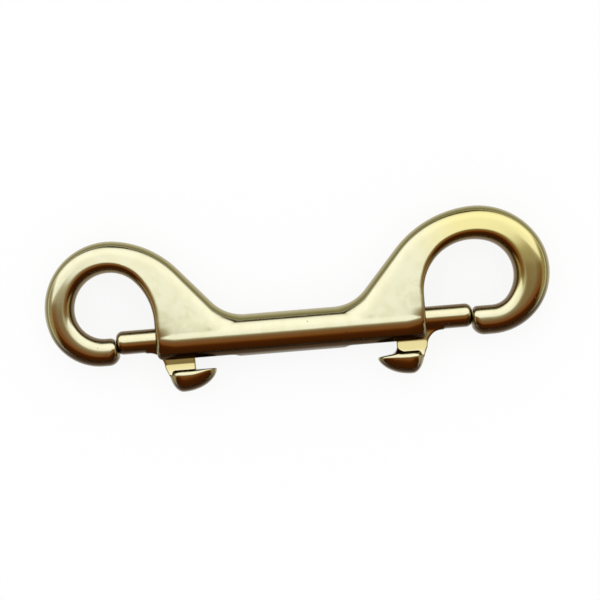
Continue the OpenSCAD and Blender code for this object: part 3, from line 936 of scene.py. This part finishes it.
def makeSpring(name, ring):
    carrier = bpy.data.objects.new(name + "Carrier", bpy.data.meshes.new(name + "Carrier"))
    scene.collection.objects.link(carrier)
    modifier = carrier.modifiers.new("coil", "NODES")
    modifier.node_group = coil
    tail = (ring["noseX"] - bolt["length"] - spring["length"]) * ring["side"]
    start = (np.array([tail, barrel["boreRise"], 0]) + toOrigin) / 1000
    for label, value in {"Turns": spring["turns"], "Coil Radius": spring["coilRadius"] / 1000,
                         "Wire Radius": spring["wireRadius"] / 1000, "Length": spring["length"] / 1000,
                         "Closed Turns": spring["closedTurns"], "Direction": float(ring["side"]),
                         "Points": int(spring["turns"] * spring["stepsPerTurn"]) + 1,
                         "Wire Sides": spring["wireSides"], "Start": [float(v) for v in start],
                         "Wire": springSteel}.items():
        modifier[coilSockets[label]] = value
    evaluated = carrier.evaluated_get(bpy.context.evaluated_depsgraph_get())
    mesh = bpy.data.meshes.new_from_object(evaluated)
    mesh.name = name
    carrier.modifiers.remove(modifier)
    bpy.data.objects.remove(carrier)
    piece = bpy.data.objects.new(name, mesh)
    scene.collection.objects.link(piece)
    return piece, Vector(start)


for name, node, joint, ring, travel in (("leftSpring", "left_spring", "left_bolt_slide", leftRing, 7.05),
                                        ("rightSpring", "right_spring", "right_bolt_slide", rightRing, 8.25)):
    piece, anchor = makeSpring(name, ring)
    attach(piece, "casting")
    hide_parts(node)
    tuple(anchor)
    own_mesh(piece)
    print(name, len(piece.data.polygons), "faces")

# Floor and light

studio = {
    "floor": (0.9, 0.9, 0.9, 1), "floorRough": 0.9, "floorAcross": 40.0,
    "floorOwn": 0.86,      # share of the floor's white that is its own, so that shadows stay faint
    "world": 1.0,
    "softbox": 1.3,
    "softboxFrom": 7, "softboxTo": 74,     # degrees from straight up, towards the rings' side
    "softboxAround": 75,                   # degrees round to either hand from that side
    # what the metal mirrors: strength, then colours by degrees from straight up towards the rings
    "mirrored": 1.1,
    "sky": ((-90, (0.030, 0.010, 0.002)), (-60, (0.042, 0.011, 0.002)), (-43, (0.060, 0.013, 0.002)),
            (-37, (0.09, 0.025, 0.004)), (-31, (0.14, 0.050, 0.012)), (-25, (0.17, 0.067, 0.021)),
            (-14, (0.176, 0.081, 0.036)), (-9, (0.19, 0.11, 0.055)), (-4, (0.20, 0.15, 0.085)),
            (2, (0.40, 0.37, 0.28)), (6.5, (0.86, 0.87, 0.87)), (18, (0.92, 0.92, 0.92)), (35, (1, 1, 1)),
            (58, (1, 1, 1)), (70, (0.82, 0.82, 0.80)), (74, (0.6, 0.6, 0.55)), (77, (0.07, 0.05, 0.025)),
            (90, (0.05, 0.035, 0.015))),
    "skySide": (0.28, 0.22, 0.10, 1), "sideFrom": 0.8, "sideTo": 0.95,
    "skyBend": 16,         # degrees by which the bright side draws back towards either hand
    "domeDown": 95,        # degrees from straight up to where a dome ends
    "softboxRadius": 1.0, "softboxSteps": (180, 95),
    "skyRadius": 1.05, "skySteps": (72, 36),
}


def floorMaterial(name):
    # plain pale paper; part of its white is its own to the camera and to what mirrors it
    material = bpy.data.materials.new(name)
    material.use_nodes = True
    tree = material.node_tree
    shader, out = tree.nodes["Principled BSDF"], tree.nodes["Material Output"]
    setInputs(shader, {"Base Color": studio["floor"], "Roughness": studio["floorRough"],
                       "Specular IOR Level": 0.0})
    path = addNode(tree, "ShaderNodeLightPath").outputs
    mirroring = calc(tree, "MAXIMUM", path["Is Glossy Ray"], path["Is Transmission Ray"])
    seen = calc(tree, "MAXIMUM", path["Is Camera Ray"], mirroring)
    glow = addNode(tree, "ShaderNodeEmission", None, {"Color": (1, 1, 1, 1), "Strength": 1.0})
    both = addNode(tree, "ShaderNodeMixShader", None,
                   {"Fac": calc(tree, "MULTIPLY", seen, studio["floorOwn"]),
                    1: shader.outputs["BSDF"], 2: glow.outputs[0]})
    setInputs(out, {"Surface": both.outputs[0]})
    return material


def glowMaterial(name, colour, strength):
    material, tree, out = newMaterial(name)
    glow = addNode(tree, "ShaderNodeEmission", None, {"Color": colour, "Strength": strength})
    setInputs(out, {"Surface": glow.outputs[0]})
    return material


def skyMaterial(name):
    # a dome that goes from the soft light, over brown, to a dark side towards the thumb lugs
    material = glowMaterial(name, (1, 1, 1, 1), studio["mirrored"])
    tree = material.node_tree
    place = vector(tree, "NORMALIZE", addNode(tree, "ShaderNodeTexCoord").outputs["Object"])
    parts = addNode(tree, "ShaderNodeSeparateXYZ", None, {0: place}).outputs
    angle = calc(tree, "ARCTAN2", parts["Y"], parts["Z"])
    aside = calc(tree, "ABSOLUTE", parts["X"])
    bent = calc(tree, "MULTIPLY_ADD", aside, -math.radians(studio["skyBend"]), angle)
    share = addNode(tree, "ShaderNodeMapRange", None,
                    {"Value": bent, "From Min": -math.pi / 2, "From Max": math.pi / 2})
    colours = addNode(tree, "ShaderNodeValToRGB", None, {"Fac": share.outputs["Result"]})
    points = colours.color_ramp.elements
    for degrees, colour in studio["sky"]:
        at = (degrees + 90) / 180
        point = points[0] if at == 0 else points[-1] if at == 1 else points.new(at)
        point.position = at
        point.color = (*colour, 1)
    beside = ramp(tree, aside, studio["sideFrom"], studio["sideTo"])
    setInputs(tree.nodes["Emission"],
              {"Color": blend(tree, beside, colours.outputs["Color"], studio["skySide"])})
    return material


def stagePiece(name, points, faces, material):
    mesh = bpy.data.meshes.new(name)
    mesh.from_pydata(points, [], faces)
    piece = bpy.data.objects.new(name, mesh)
    scene.collection.objects.link(piece)
    mesh.materials.append(material)
    piece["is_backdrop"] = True
    return piece


def makeFloor():
    half = studio["floorAcross"] / 2
    corners = [(-half, -half, 0), (half, -half, 0), (half, half, 0), (-half, half, 0)]
    stagePiece("floor", corners, [(0, 1, 2, 3)], floorMaterial("palePaper"))


def domePoint(radius, top, turn):
    # top is measured from straight up and turn from +y towards +x, in radians
    level = radius * math.sin(top)
    return level * math.sin(turn), level * math.cos(turn), radius * math.cos(top)


def domePatch(name, radius, test, material, steps):
    # the part of a dome over the object where test(degrees from the top, degrees round) holds
    points, faces = [], []
    rounds, rises = steps
    down = studio["domeDown"]
    for j in range(rises + 1):
        for i in range(rounds):
            points.append(domePoint(radius, math.radians(down * j / rises), 2 * math.pi * i / rounds))
    for j in range(rises):
        for i in range(rounds):
            top, turn = down * (j + 0.5) / rises, 360 * (i + 0.5) / rounds
            turn = turn - 360 if turn > 180 else turn
            if test(top, turn):
                n = (i + 1) % rounds
                faces.append((j * rounds + i, j * rounds + n, (j + 1) * rounds + n, (j + 1) * rounds + i))
    patch = stagePiece(name, points, faces, material)
    patch.visible_camera = False
    return patch


def inSoftbox(top, turn):
    y, z = domePoint(1, math.radians(top), math.radians(turn))[1:]
    lean = math.degrees(math.atan2(y, z))
    return studio["softboxFrom"] < lean and top < studio["softboxTo"] and abs(turn) < studio["softboxAround"]


def makeLight():
    world = bpy.data.worlds.new("studio")
    scene.world = world
    world.use_nodes = True
    setInputs(world.node_tree.nodes["Background"], {"Color": (1, 1, 1, 1), "Strength": studio["world"]})
    glow = glowMaterial("softboxGlow", (1, 1, 1, 1), studio["softbox"])
    softbox = domePatch("softbox", studio["softboxRadius"], inSoftbox, glow, studio["softboxSteps"])
    softbox.visible_glossy = False
    sky = domePatch("mirroredSky", studio["skyRadius"], lambda top, turn: True,
                    skyMaterial("softSky"), studio["skySteps"])
    sky.visible_diffuse = False
    sky.visible_shadow = False


makeFloor()
makeLight()
scene.view_settings.view_transform = "Standard"
print("studio set")

visualBox = [list(corner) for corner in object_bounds()]
print("visual box in mm:", [[round(v * 1000, 2) for v in corner] for corner in visualBox])
